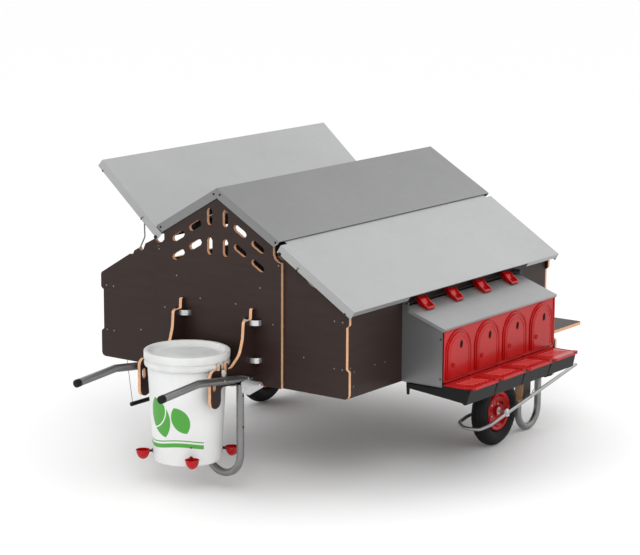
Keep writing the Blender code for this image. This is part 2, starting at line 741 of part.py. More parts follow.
# ---------------------------------------------------------------- front end
def handles():
    for name, side in sides():
        x = side * HANDLE_X
        path = [(x, *HANDLE_END, 0), (x, *HANDLE_BEND, 0.12), (x, *HANDLE_ROOT, 0)]
        points = bends(path, 3)
        points.insert(-1, points[-1] + (points[-2] - points[-1]).normalized() * 0.060)
        last = len(points) - 1
        ob = place(f"handle_{name}", pipe(points, TUBE_R, 10, flat={last: (0.35, 1.25)}),
                   STEEL, smooth=True)
        spacers = bmesh.new()
        for y in (-0.120, -0.312):
            z = HANDLE_ROOT[1] + (HANDLE_BEND[1] - HANDLE_ROOT[1]) * (
                (HANDLE_ROOT[0] - y) / (HANDLE_ROOT[0] - HANDLE_BEND[0]))
            ends = [(side * (PLATE_IN + PLY + GAP), y, z), (x, y, z)]
            pipe(ends, 0.009, 10, spacers)
        boolean(ob, helper(f"spacers_{name}", spacers), "UNION")
        way = (Vector((x, *HANDLE_END)) - Vector((x, *HANDLE_BEND))).normalized()
        near = Vector((x, *HANDLE_END)) + way * GAP
        cap = [near, near + way * (CAP - 0.003), near + way * CAP]
        place(f"handle_cap_{name}", pipe(cap, TUBE_R + 0.001, 12, flat={2: (0.88, 0.88)}),
              BLACK, smooth=True)


def bracket_plates():
    """Plywood hooks on the front wall that carry the handles and the bucket."""
    g = -GAP
    outline = rounded([
        (g, 0.600, 0), (g, 0.947, 0.008), (-0.022, 0.947, 0.008), (-0.025, 0.893, 0.006),
        (-0.084, 0.890, 0.012), (-0.092, 0.800, 0.10), (-0.118, 0.722, 0.08),
        (-0.190, 0.668, 0.04), (-0.223, 0.668, 0), (-0.225, 0.704, 0.004),
        (-0.236, 0.704, 0.004), (-0.236, PIN_Z - PIN_R - GAP, 0.010),
        (-0.2745, PIN_Z - PIN_R - GAP, 0.010), (-0.2745, 0.704, 0.004), (-0.286, 0.704, 0.004),
        (-0.290, 0.672, 0.006),
        (-0.362, 0.690, 0.035), (-0.362, 0.479, 0.038), (-0.280, 0.479, 0.038),
        (-0.280, 0.585, 0.02), (-0.120, 0.570, 0.04),
    ])
    for name, side in sides():
        x = sorted((side * PLATE_IN, side * (PLATE_IN + PLY)))
        ob = place(f"bracket_plate_{name}", prism(outline, "X", *x), PLYWOOD)
        hole = obround((-0.334, 0.600), 0.024, 0.056, 0)
        boolean(ob, helper(f"plate_hole_{name}", prism(hole, "X", x[0] - 0.01, x[1] + 0.01)))


def bucket():
    wall = 0.003
    base = BUCKET_BOTTOM
    outer = [(0.0, base + 0.006), (0.160, base + 0.006), (0.163, base), (0.174, base),
             (0.178, base + 0.012), (0.204, 0.676), (0.206, 0.728)]
    inner = [(0.206 - wall, 0.728), (0.204 - wall, 0.676), (0.176 - wall, base + 0.012), (0.0, base + 0.010)]
    centre = (0, BUCKET_Y, 0)
    pivot = (0, BUCKET_Y, BUCKET_BOTTOM)
    ob = place("bucket", lathe(outer + inner, "Z", centre, 32), WHITE, pivot, True)
    pins = bmesh.new()
    for _, side in sides():
        ends = [(side * 0.193, BUCKET_Y, PIN_Z), (side * (PLATE_IN + PLY), BUCKET_Y, PIN_Z)]
        pipe(ends, PIN_R, 14, pins)
    boolean(ob, helper("bucket_pins", pins), "UNION")
    top = BUCKET_TOP
    lid = [
        (0.0, 0.716), (0.193, 0.714), (0.197, 0.737), (0.2063, 0.737), (0.2068, 0.671),
        (0.219, 0.670), (0.2205, 0.690), (0.2175, 0.694), (0.2175, 0.704), (RIM_R, 0.708),
        (RIM_R, top - 0.008), (0.216, top), (0.203, top), (0.197, top - 0.006), (0.190, 0.719), (0.0, 0.721),
    ]
    place("bucket_lid", lathe(lid, "Z", centre, 32), WHITE, (0, BUCKET_Y, top), True)


def cups():
    """Four drinking cups on short stems round the foot of the bucket."""
    height = 0.218
    shell = 0.0025
    for i, azimuth in enumerate((45, 135, 225, 315)):
        t = radians(azimuth - 90)
        way = Vector((cos(t), sin(t), 0))
        wall_r = 0.178 + (0.204 - 0.178) * (height - BUCKET_BOTTOM) / 0.5
        centre = Vector((0, BUCKET_Y, height)) + way * (wall_r + 0.016 + CUP_R)
        bowl = [(CUP_R * cos(a), CUP_R * 1.35 * sin(a)) for a in
                [radians(-90 + 90 * k / 4) for k in range(5)]]
        bowl[0] = (0.0, bowl[0][1])
        bowl += [(CUP_R + 0.003, 0.0), (CUP_R + 0.003, 0.003), (CUP_R - shell, 0.003)]
        bowl += [((CUP_R - shell) * cos(a), (CUP_R * 1.35 - shell) * sin(a)) for a in
                 [radians(-30 * k) for k in range(1, 3)]]
        bowl += [(0.0, -(CUP_R * 1.35 - shell))]
        ob = place(f"cup_{i + 1}", lathe(bowl, "Z", centre, 14), RED, centre, True)
        stem = [centre - way * (0.016 + CUP_R - 0.002) + Vector((0, 0, -0.002)),
                centre - way * (CUP_R - 0.001) + Vector((0, 0, -0.004))]
        boolean(ob, helper(f"stem_{i + 1}", pipe(stem, 0.007, 10)), "UNION")


def landing_board():
    y = HOUSE_LENGTH + 5 * GAP
    outline = rounded([(-BOARD_HALF, y, 0), (BOARD_HALF, y, 0), (BOARD_HALF, y + BOARD_DEPTH, 0.02),
                       (-BOARD_HALF, y + BOARD_DEPTH, 0.02)])
    bm = prism(outline, "Z", WALL_BOTTOM, WALL_BOTTOM + PLY)
    place("landing_board", bm, PLYWOOD, (0, y, WALL_BOTTOM + PLY))


def hanging_bar():
    """Black bar hung by two thin stays under the left edge of the floor."""
    x = -0.676
    z = (0.280, 0.5505)
    y = (0.083, 0.560)
    ob = place("hanging_bar", pipe([(x, y[0], z[0]), (x, y[1], z[0])], 0.012, 12),
               BLACK, (x, (y[0] + y[1]) / 2, z[1]), True)
    stays = bmesh.new()
    pipe([(x, y[0] + 0.012, z[0]), (x, 0.050, z[1])], 0.0015, 6, stays)
    pipe([(x, y[1] - 0.012, z[0]), (x, y[1] + 0.030, z[1])], 0.0015, 6, stays)
    boolean(ob, helper("bar_stays", stays), "UNION")


def tray_peg():
    """Tapered black foot at the front inner corner of the nest trays."""
    bm = pipe([(0.835, 0.543, 0.5445), (0.835, 0.543, 0.474)], 0.011, 10, flat={1: (0.7, 0.7)})
    place("tray_peg", bm, BLACK, smooth=True)


centre_panels()
wings()
side_walls()
floor()
upper_roof()
flaps()
props()
nest_sides()
nest_front()
nest_lid()
lid_rod_and_clips()
egg_trays()
tray_lids()
wheels()
levers()
lever_plates()
rear_legs()
front_leg()
handles()
bracket_plates()
bucket()
cups()
landing_board()
hanging_bar()
tray_peg()
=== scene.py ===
"""Looks of the mobile poultry house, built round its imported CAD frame."""

from math import atan2, cos, pi, radians, sin, tan

import bmesh
import bpy
from mathutils import Matrix, Vector


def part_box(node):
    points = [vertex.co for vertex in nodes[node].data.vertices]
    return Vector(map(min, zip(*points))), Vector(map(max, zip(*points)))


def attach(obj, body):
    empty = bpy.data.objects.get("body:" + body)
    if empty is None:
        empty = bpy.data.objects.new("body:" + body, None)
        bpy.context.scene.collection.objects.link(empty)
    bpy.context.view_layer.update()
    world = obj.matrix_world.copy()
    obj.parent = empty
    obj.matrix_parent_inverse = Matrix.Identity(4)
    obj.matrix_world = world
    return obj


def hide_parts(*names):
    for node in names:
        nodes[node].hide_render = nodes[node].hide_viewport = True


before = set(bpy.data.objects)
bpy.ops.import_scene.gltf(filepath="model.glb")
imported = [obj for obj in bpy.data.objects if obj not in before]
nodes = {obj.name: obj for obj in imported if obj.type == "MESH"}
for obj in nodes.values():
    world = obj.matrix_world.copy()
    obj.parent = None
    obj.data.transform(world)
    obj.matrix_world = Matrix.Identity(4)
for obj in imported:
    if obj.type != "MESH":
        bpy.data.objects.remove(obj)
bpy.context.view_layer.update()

panel_lo, panel_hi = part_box("front_centre_panel")
HOME = Vector(((panel_lo.x + panel_hi.x) / 2, panel_lo.y, 0.0))


# Sizes of the house in metres, across, along and above it as at() takes them.
HOUSE_LENGTH = 1.990
WALL_X = 0.810
WHEEL_X, WHEEL_Y, WHEEL_Z = 0.812, 1.440, 0.200
LEVER_X, LEVER_R = 0.890, 0.0100
PIVOT_Y, PIVOT_Z = 1.700, 0.2355
TUBE_R = 0.0200
HANDLE_X = 0.276
BUCKET_Y, BUCKET_BASE, BUCKET_TOP = -0.255, 0.168, 0.747
CUP_R = 0.0350
NEST_LOW, NEST_HIGH, NEST_FACE = 0.517, 1.636, 1.062
NESTS = 4
TRAY_START, TRAY_PITCH = 0.500, 0.2735
ROD_X, ROD_Z = 0.838, 0.961
FLAP_PIVOT = (0.4105, 1.251)
FLAP_PITCH, FLAP_OPEN = 32.03, 73.2
BOLT_SIDES = 6


def at(x, y, z):
    """A point given across, along and above the house, from the middle of the front wall."""
    return HOME + Vector((x, y, z))


def local(node):
    lo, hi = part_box(node)
    return lo - HOME, hi - HOME


# ---------------------------------------------------------------- materials
class Look:
    """A node material under construction."""

    def __init__(self, name, colour, roughness, metallic=0.0):
        self.mat = bpy.data.materials.new(name)
        self.mat.use_nodes = True
        self.tree = self.mat.node_tree
        self.shader = self.tree.nodes["Principled BSDF"]
        self.set("Base Color", (*colour, 1.0))
        self.set("Roughness", roughness)
        self.set("Metallic", metallic)
        self.coords = None

    def set(self, socket, value):
        self.shader.inputs[socket].default_value = value

    def node(self, kind, **values):
        n = self.tree.nodes.new(kind)
        for key, value in values.items():
            setattr(n, key, value)
        return n

    def link(self, a, b):
        self.tree.links.new(a, b)

    def coord(self, output="Object"):
        if self.coords is None:
            self.coords = self.node("ShaderNodeTexCoord")
        return self.coords.outputs[output]

    def math(self, operation, a, b=0.0, c=None):
        n = self.node("ShaderNodeMath", operation=operation)
        for i, v in enumerate((a, b) if c is None else (a, b, c)):
            if isinstance(v, (int, float)):
                n.inputs[i].default_value = v
            else:
                self.link(v, n.inputs[i])
        return n.outputs[0]

    def split(self, output="Object"):
        n = self.node("ShaderNodeSeparateXYZ")
        self.link(self.coord(output), n.inputs[0])
        return n.outputs

    def noise(self, scale, detail=3.0, stretch=None, rough=0.5):
        n = self.node("ShaderNodeTexNoise")
        n.inputs["Scale"].default_value = scale
        n.inputs["Detail"].default_value = detail
        n.inputs["Roughness"].default_value = rough
        if stretch:
            m = self.node("ShaderNodeMapping")
            m.inputs["Scale"].default_value = stretch
            self.link(self.coord(), m.inputs["Vector"])
            self.link(m.outputs[0], n.inputs["Vector"])
        else:
            self.link(self.coord(), n.inputs["Vector"])
        return n.outputs["Fac"]

    def ramp(self, value, stops):
        n = self.node("ShaderNodeValToRGB")
        els = n.color_ramp.elements
        els[0].position, els[0].color = stops[0][0], (*stops[0][1], 1.0)
        els[1].position, els[1].color = stops[-1][0], (*stops[-1][1], 1.0)
        for pos, col in stops[1:-1]:
            e = els.new(pos)
            e.color = (*col, 1.0)
        self.link(value, n.inputs[0])
        return n.outputs[0]

    def mix(self, factor, a, b):
        n = self.node("ShaderNodeMix", data_type="RGBA")
        for v, slot in ((factor, 0), (a, 6), (b, 7)):
            if isinstance(v, (int, float)):
                n.inputs[slot].default_value = v
            elif isinstance(v, tuple):
                n.inputs[slot].default_value = (*v, 1.0)
            else:
                self.link(v, n.inputs[slot])
        return n.outputs[2]

    def span(self, value, low, high):
        n = self.node("ShaderNodeMapRange")
        self.link(value, n.inputs["Value"])
        n.inputs["To Min"].default_value = low
        n.inputs["To Max"].default_value = high
        return n.outputs[0]

    def bump(self, height, strength, distance):
        n = self.node("ShaderNodeBump")
        n.inputs["Strength"].default_value = strength
        n.inputs["Distance"].default_value = distance
        self.link(height, n.inputs["Height"])
        self.link(n.outputs[0], self.shader.inputs["Normal"])


FILM = (0.022, 0.0115, 0.0095)
FILM_LIGHT = (0.027, 0.0145, 0.0118)
TAN = (0.72, 0.42, 0.25)
TAN_DARK = (0.50, 0.26, 0.14)


def plywood(axis):
    """Film-faced plywood: dark on its two faces across the axis, pale layered edges."""
    look = Look(f"plywood_{axis}", FILM, 0.42)
    i = "XYZ".index(axis)
    grain = [14.0, 14.0, 14.0]
    grain["XYZ".index("Y" if axis == "X" else "X")] = 1.2
    film = look.ramp(look.noise(3.0, 5.0, grain), [(0.3, FILM), (0.7, FILM_LIGHT)])
    plies = look.math("SINE", look.math("MULTIPLY", look.split()[i], 2 * pi / 0.0051))
    fibre = look.math("ADD", look.math("MULTIPLY", plies, 0.22), look.noise(90.0, 3.0))
    edge = look.ramp(fibre, [(0.25, TAN_DARK), (0.5, TAN)])
    facing = look.math("GREATER_THAN", look.math("ABSOLUTE", look.split("Normal")[i]), 0.7)
    look.link(look.mix(facing, edge, film), look.shader.inputs["Base Color"])
    look.link(look.math("ADD", look.math("MULTIPLY", facing, -0.28),
                        look.span(look.noise(30.0), 0.66, 0.78)), look.shader.inputs["Roughness"])
    look.bump(look.noise(260.0, 2.0), 0.06, 0.0006)
    look.set("Specular IOR Level", 0.22)
    return look.mat


def galvanised(name, light, rough=0.40, metallic=0.55):
    look = Look(name, (light, light, light), rough, metallic)
    cloud = look.noise(1.6, 4.0)
    dark = light * 0.93
    look.link(look.ramp(cloud, [(0.3, (dark, dark * 1.005, dark * 1.01)),
                                (0.7, (light, light * 1.005, light * 1.01))]),
              look.shader.inputs["Base Color"])
    look.link(look.span(look.noise(22.0, 4.0), rough - 0.05, rough + 0.07),
              look.shader.inputs["Roughness"])
    look.bump(look.noise(5.0, 2.0), 0.05, 0.004)
    return look.mat


def plastic(name, colour, rough, coat=0.0, grain=0.05):
    look = Look(name, colour, rough)
    look.set("Coat Weight", coat)
    look.set("Coat Roughness", 0.12)
    look.set("Specular IOR Level", 0.16 if max(colour) < 0.05 else 0.22)
    shade = tuple(c * 0.88 for c in colour)
    look.link(look.ramp(look.noise(9.0, 3.0), [(0.35, shade), (0.65, colour)]),
              look.shader.inputs["Base Color"])
    look.link(look.span(look.noise(40.0, 3.0), rough - 0.03, rough + 0.05),
              look.shader.inputs["Roughness"])
    look.bump(look.noise(420.0, 2.0), grain, 0.0004)
    return look.mat


def tube_steel(name, light):
    look = Look(name, (light, light, light), 0.30, 0.85)
    streak = look.noise(12.0, 4.0)
    look.link(look.ramp(streak, [(0.3, (light * 0.86,) * 3), (0.7, (light, light, light * 1.01))]),
              look.shader.inputs["Base Color"])
    look.link(look.span(look.noise(60.0, 3.0), 0.24, 0.38), look.shader.inputs["Roughness"])
    look.bump(look.noise(160.0, 2.0), 0.04, 0.0005)
    return look.mat


def rubber():
    look = Look("rubber_look", (0.008, 0.008, 0.0085), 0.62)
    look.set("Specular IOR Level", 0.2)
    shades = [(0.3, (0.005, 0.005, 0.0055)), (0.7, (0.010, 0.010, 0.0105))]
    look.link(look.ramp(look.noise(30.0, 4.0), shades),
              look.shader.inputs["Base Color"])
    look.link(look.span(look.noise(80.0, 3.0), 0.5, 0.72), look.shader.inputs["Roughness"])
    look.bump(look.noise(500.0, 2.0), 0.12, 0.0006)
    return look.mat


GREEN = (0.055, 0.31, 0.028)


def printed_bucket(radius):
    """White plastic with a plain green print: a leaf over two wavy bands."""
    look = Look("bucket_look", (0.80, 0.81, 0.80), 0.36)
    x, y, z = look.split()
    turn = look.math("ARCTAN2", x, look.math("MULTIPLY", y, -1.0))
    u = look.math("MULTIPLY", turn, radius)

    def inside(cu, cv, r):
        du = look.math("SUBTRACT", u, cu)
        dv = look.math("SUBTRACT", z, cv)
        d = look.math("SQRT", look.math("ADD", look.math("MULTIPLY", du, du), look.math("MULTIPLY", dv, dv)))
        return look.math("LESS_THAN", d, r)

    def band(low, high):
        wave = look.math("MULTIPLY", look.math("SINE", look.math("MULTIPLY", u, 17.0)), 0.010)
        v = look.math("SUBTRACT", z, wave)
        return look.math("MULTIPLY", look.math("GREATER_THAN", v, low), look.math("LESS_THAN", v, high))

    leaf = look.math("MULTIPLY", inside(-0.085, 0.400, 0.125), inside(0.035, 0.440, 0.125))
    vein = inside(-0.085, 0.460, 0.103)
    vein = look.math("MULTIPLY", vein, look.math("SUBTRACT", 1.0, inside(-0.085, 0.460, 0.096)))
    leaf = look.math("MULTIPLY", leaf, look.math("SUBTRACT", 1.0, vein))
    leaf2 = look.math("MULTIPLY", inside(0.060, 0.395, 0.085), inside(0.130, 0.430, 0.085))
    side = look.math("MULTIPLY", look.math("GREATER_THAN", u, -0.20), look.math("LESS_THAN", u, 0.22))
    bands = look.math("MAXIMUM", band(0.262, 0.284), band(0.294, 0.300))
    bands = look.math("MULTIPLY", bands, side)
    green = look.math("MAXIMUM", look.math("MAXIMUM", leaf, leaf2), bands)
    white = look.ramp(look.noise(6.0, 3.0), [(0.3, (0.66, 0.665, 0.66)), (0.7, (0.71, 0.715, 0.71))])
    look.link(look.mix(green, white, GREEN), look.shader.inputs["Base Color"])
    look.link(look.span(look.noise(40.0), 0.32, 0.42), look.shader.inputs["Roughness"])
    return look.mat


PLY = {axis: plywood(axis) for axis in "XYZ"}
ROOF = galvanised("roof_sheet", 0.35, 0.42, 0.55)
# The upper roof sheets are the flaps' galvanised steel, darkened as painted shade.
UPPER_ROOF_SHADED = galvanised("upper_roof_painted_shade", 0.20, 0.38, 0.62)
LID_SHEET = galvanised("nest_lid_sheet", 0.30, 0.40, 0.55)
NEST_SHEET = galvanised("nest_sheet", 0.21, 0.36, 0.65)
ZINC = galvanised("fitting_zinc", 0.62, 0.32, 0.8)
STEEL = tube_steel("tube_steel", 0.24)
BRIGHT = tube_steel("bright_bar", 0.38)
RED = plastic("red_plastic_look", (0.43, 0.0025, 0.003), 0.24, 0.12)
# Pale red painted highlight for the rims round the tray lid slots.
SLOT_HIGHLIGHT = plastic("slot_painted_highlight", (0.72, 0.10, 0.09), 0.35, 0.1)
BLACK = plastic("black_plastic_look", (0.006, 0.006, 0.0065), 0.42, 0.0)
WHITE = plastic("white_plastic_look", (0.68, 0.69, 0.68), 0.34)
TYRE = rubber()
# Near-black painted shade, drawn as discs and ovals where holes are.
HOLE_SHADE = plastic("hole_painted_shade", (0.004, 0.004, 0.004), 0.8)
SCREW = tube_steel("screw_head", 0.22)
FLOOR = Look("studio_floor", (0.93, 0.93, 0.93), 0.9).mat


# ---------------------------------------------------------------- shapes
def add(name, bm, mat, body, origin=(0.0, 0.0, 0.0), smooth=35):
    origin = Vector(origin)
    bmesh.ops.translate(bm, verts=bm.verts, vec=-origin)
    bmesh.ops.recalc_face_normals(bm, faces=bm.faces)
    mesh = bpy.data.meshes.new(name)
    bm.to_mesh(mesh)
    bm.free()
    ob = bpy.data.objects.new(name, mesh)
    bpy.context.scene.collection.objects.link(ob)
    ob.location = origin
    mesh.materials.append(mat)
    if smooth:
        mesh.shade_smooth()
        mesh.set_sharp_from_angle(angle=radians(smooth))
    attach(ob, body)
    return ob


def bevel(ob, width, segments=2):
    mod = ob.modifiers.new("edge", "BEVEL")
    mod.width = width
    mod.segments = segments
    mod.limit_method = "ANGLE"
    mod.angle_limit = radians(40)


def sweep(rings, bm, closed=False, caps=True):
    rows = [[bm.verts.new(p) for p in ring] for ring in rings]
    pairs = list(zip(rows, rows[1:]))
    if closed:
        pairs.append((rows[-1], rows[0]))
    for a, b in pairs:
        n = len(a)
        for k in range(n):
            bm.faces.new((a[k], a[(k + 1) % n], b[(k + 1) % n], b[k]))
    if caps and not closed:
        bm.faces.new(rows[0])
        bm.faces.new(list(reversed(rows[-1])))
    return bm


def lathe(profile, way, centre, steps=64, bm=None):
    """A closed (radius, along) profile turned about an axis."""
    bm = bm or bmesh.new()
    way = Vector(way).normalized()
    side = way.orthogonal().normalized()
    up = way.cross(side)
    centre = Vector(centre)
    rings = []
    for k in range(steps):
        t = 2 * pi * k / steps
        out = side * cos(t) + up * sin(t)
        rings.append([centre + out * max(r, 0.00005) + way * h for r, h in profile])
    sweep(rings, bm, closed=True)
    bmesh.ops.remove_doubles(bm, verts=bm.verts, dist=0.00011)
    return bm


def disc(centre, way, radius, height, bm=None, steps=20, dome=0.25):
    """A domed head standing on a face."""
    rim = height * (1 - dome)
    profile = [(0, 0), (radius, 0), (radius, rim * 0.6), (radius * 0.86, rim),
               (radius * 0.5, height), (0, height)]
    return lathe(profile, way, centre, steps, bm)


def tube(points, radius, steps=20, bm=None, sizes=None):
    """A round bar along a path; sizes gives (across, up) factors at some points."""
    bm = bm or bmesh.new()
    pts = [Vector(p) for p in points]
    last = len(pts) - 1
    sizes = sizes or {}
    rings = []
    side = None
    for i, p in enumerate(pts):
        ahead = (pts[min(i + 1, last)] - pts[min(i, last - 1)]).normalized()
        back = (p - pts[i - 1]).normalized() if i else ahead
        way = (ahead + back).normalized()
        if side is None:
            ref = Vector((1, 0, 0)) if abs(way.x) < 0.9 else Vector((0, 0, 1))
            side = ref
        side = (side - way * side.dot(way)).normalized()
        up = way.cross(side)
        across, high = sizes.get(i, (1, 1))
        ring = [p + side * (radius * across * cos(2 * pi * k / steps)) +
                up * (radius * high * sin(2 * pi * k / steps)) for k in range(steps)]
        rings.append(ring)
    return sweep(rings, bm)


def bends(corners, steps=10):
    """Path through (x, y, z, radius) house corners, with round bends, in the row frame."""
    pts = []
    last = len(corners) - 1
    for i, (x, y, z, r) in enumerate(corners):
        here = Vector((x, y, z))
        if not r or i in (0, last):
            pts.append(here)
            continue
        a = (Vector(corners[i - 1][:3]) - here).normalized()
        b = (Vector(corners[i + 1][:3]) - here).normalized()
        half = a.angle(b) / 2
        centre = here + (a + b).normalized() * (r / sin(half))
        start = here + a * (r / tan(half)) - centre
        end = here + b * (r / tan(half)) - centre
        turn = Matrix.Rotation(start.angle(end) / steps, 3, start.cross(end))
        for _ in range(steps + 1):
            pts.append(centre + start)
            start = turn @ start
    return [HOME + p for p in pts]


def prism(outline, axis, low, high, bm=None):
    """House-frame outline in the two other axes, filled from low to high."""
    bm = bm or bmesh.new()
    spot = {"X": lambda a, b, c: (c, a, b),
            "Y": lambda a, b, c: (a, c, b),
            "Z": lambda a, b, c: (a, b, c)}[axis]
    rings = [[at(*spot(a, b, c)) for a, b in outline] for c in (low, high)]
    return sweep(rings, bm)


def box(x, y, z, bm=None):
    return prism([(x[0], y[0]), (x[1], y[0]), (x[1], y[1]), (x[0], y[1])], "Z", z[0], z[1], bm)


def arc(centre, r, start, end, steps):
    ts = [radians(start + (end - start) * i / steps) for i in range(steps + 1)]
    return [(centre[0] + r * cos(t), centre[1] + r * sin(t)) for t in ts]


def rounded(corners, radius, steps=5):
    """A flat outline with every corner turned into an arc."""
    out = []
    count = len(corners)
    for i, corner in enumerate(corners):
        here = Vector(corner)
        before = (Vector(corners[i - 1]) - here).normalized()
        after = (Vector(corners[(i + 1) % count]) - here).normalized()
        half = before.angle(after) / 2
        centre = here + (before + after).normalized() * (radius / sin(half))
        start = here + before * (radius / tan(half)) - centre
        end = here + after * (radius / tan(half)) - centre
        first = atan2(start.y, start.x)
        turn = (atan2(end.y, end.x) - first + pi) % (2 * pi) - pi
        for k in range(steps + 1):
            t = first + turn * k / steps
            out.append((centre.x + radius * cos(t), centre.y + radius * sin(t)))
    return out


def sides():
    return (("right", 1), ("left", -1))


def dress(mat, *names):
    for name in names:
        ob = nodes[name]
        ob.data.materials.clear()
        ob.data.materials.append(mat)


dress(PLY["Y"], "front_centre_panel", "rear_centre_panel", "front_wing_right", "front_wing_left",
      "rear_wing_right", "rear_wing_left")
dress(PLY["X"], "side_wall_right", "side_wall_left", "lever_plate_right", "lever_plate_left",
      "bracket_plate_right", "bracket_plate_left")
dress(PLY["Z"], "floor_panel", "landing_board")
dress(ROOF, "roof_flap_right", "roof_flap_left")
dress(UPPER_ROOF_SHADED, "roof_upper_right", "roof_upper_left")
dress(LID_SHEET, "nest_lid")
dress(NEST_SHEET, "nest_side_front", "nest_side_rear")
dress(STEEL, "prop_rod_right", "prop_rod_left")
dress(BLACK, "nest_lid_rod", "tray_peg", *[f"egg_tray_{i}" for i in range(1, 5)])
dress(RED, *[f"tray_lid_{i}" for i in range(1, 5)], *[f"lid_clip_{i}" for i in range(1, 5)])
dress(RED, "nest_front", "rim_right", "rim_left", "cup_1", "cup_2", "cup_3", "cup_4")
dress(TYRE, "tyre_right", "tyre_left")
dress(BLACK, "handle_cap_right", "handle_cap_left", "hanging_bar")
dress(STEEL, "wheel_lever_right", "wheel_lever_left", "rear_leg_right", "rear_leg_left", "front_leg",
      "handle_right", "handle_left")
dress(WHITE, "bucket", "bucket_lid")


# ---------------------------------------------------------------- running gear
def tyre(name, side):
    """Round-shouldered tyre with treads across its crown."""
    lo, hi = local(f"tyre_{name}")
    y, z = (lo.y + hi.y) / 2, (lo.z + hi.z) / 2
    x = side * WHEEL_X
    big = (hi.z - lo.z) / 2
    small = (hi.x - lo.x) / 2
    mid = big - small
    centre = at(x, y, z)
    profile = [(mid + (small - 0.0035) * cos(t), small * sin(t)) for t in
               [radians(-150 + 300 * k / 22) for k in range(23)]]
    profile += [(0.1130, small * 0.44), (0.1130, -small * 0.44)]
    bm = lathe(profile, (1, 0, 0), centre, 96)
    blocks = 44
    for k in range(blocks):
        for row, lean in ((-1, 0.5), (1, 0.0)):
            t = 2 * pi * (k + lean) / blocks
            for low, high in ((6, 30), (36, 62)):
                wide = 0.44 if low < 10 else 0.34
                quad = []
                for a in (low, (low + high) / 2, high):
                    a = radians(a) * row
                    for dt in (-wide, wide):
                        tt = t + dt * 2 * pi / blocks + abs(a) * 0.06
                        for r in (small - 0.008, small):
                            reach = mid + r * cos(a)
                            spot = Vector((r * sin(a), reach * cos(tt), reach * sin(tt)))
                            quad.append(bm.verts.new(centre + spot))
                for s in (0, 4):
                    a0, a1, b0, b1 = quad[s:s + 4]
                    c0, c1, d0, d1 = quad[s + 4:s + 8]
                    bm.faces.new((a1, c1, d1, b1))
                    bm.faces.new((a0, a1, c1, c0))
                    bm.faces.new((b0, d0, d1, b1))
                bm.faces.new((quad[0], quad[1], quad[3], quad[2]))
                bm.faces.new((quad[8], quad[9], quad[11], quad[10]))
    for out in (-1, 1):
        for r in (0.150, 0.138):
            ring = [(r - 0.0012, 0.0), (r + 0.0012, 0.0), (r + 0.0006, 0.0016), (r - 0.0006, 0.0016)]
            depth = (small ** 2 - (r - mid) ** 2) ** 0.5 - 0.0006
            lathe([(a, out * (depth + h)) for a, h in ring], (1, 0, 0), centre, 96, bm)
    ob = add(f"tyre_look_{name}", bm, TYRE, f"wheel_{name}", centre, 30)
    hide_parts(f"tyre_{name}")


def rim(name, side):
    """Dished red rim with a rolled edge, a hub with its nut, and a valve."""
    lo, hi = local(f"rim_{name}")
    y, z = (lo.y + hi.y) / 2, (lo.z + hi.z) / 2
    centre = at(side * WHEEL_X, y, z)
    front = [(0.0112, 0.030), (0.022, 0.030), (0.024, 0.026), (0.025, 0.008), (0.030, 0.004),
             (0.058, 0.003), (0.066, 0.004), (0.080, 0.012), (0.088, 0.022), (0.092, 0.031),
             (0.097, 0.036), (0.104, 0.038), (0.1085, 0.035), (0.1118, 0.032)]
    back = [(r, -h) for r, h in reversed(front[:3])]
    back = [(0.1118, -0.032), (0.1085, -0.035), (0.104, -0.038), (0.097, -0.036), (0.092, -0.031),
            (0.088, -0.014), (0.078, -0.003), (0.058, -0.001), (0.030, -0.001), (0.025, -0.008)] + back
    profile = [(r, side * h) for r, h in front + back]
    ob = add(f"rim_look_{name}", lathe(profile, (1, 0, 0), centre, 96), RED, f"wheel_{name}",
             centre, 40)
    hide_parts(f"rim_{name}")
    bm = bmesh.new()
    for k in range(4):
        t = 2 * pi * (k + 0.5) / 4
        spot = centre + Vector((side * 0.0035, 0.044 * cos(t), 0.044 * sin(t)))
        disc(spot, (side, 0, 0), 0.0065, 0.005, bm, 6)
    add(f"rim_bolts_{name}", bm, ZINC, f"wheel_{name}", centre)
    root = centre + Vector((side * 0.006, 0.071, 0.030))
    tip = root + Vector((side * 0.016, -0.012, -0.004))
    add(f"valve_{name}", tube([root, root + (tip - root) * 0.6, tip], 0.004, 12), BLACK,
        f"wheel_{name}", centre)


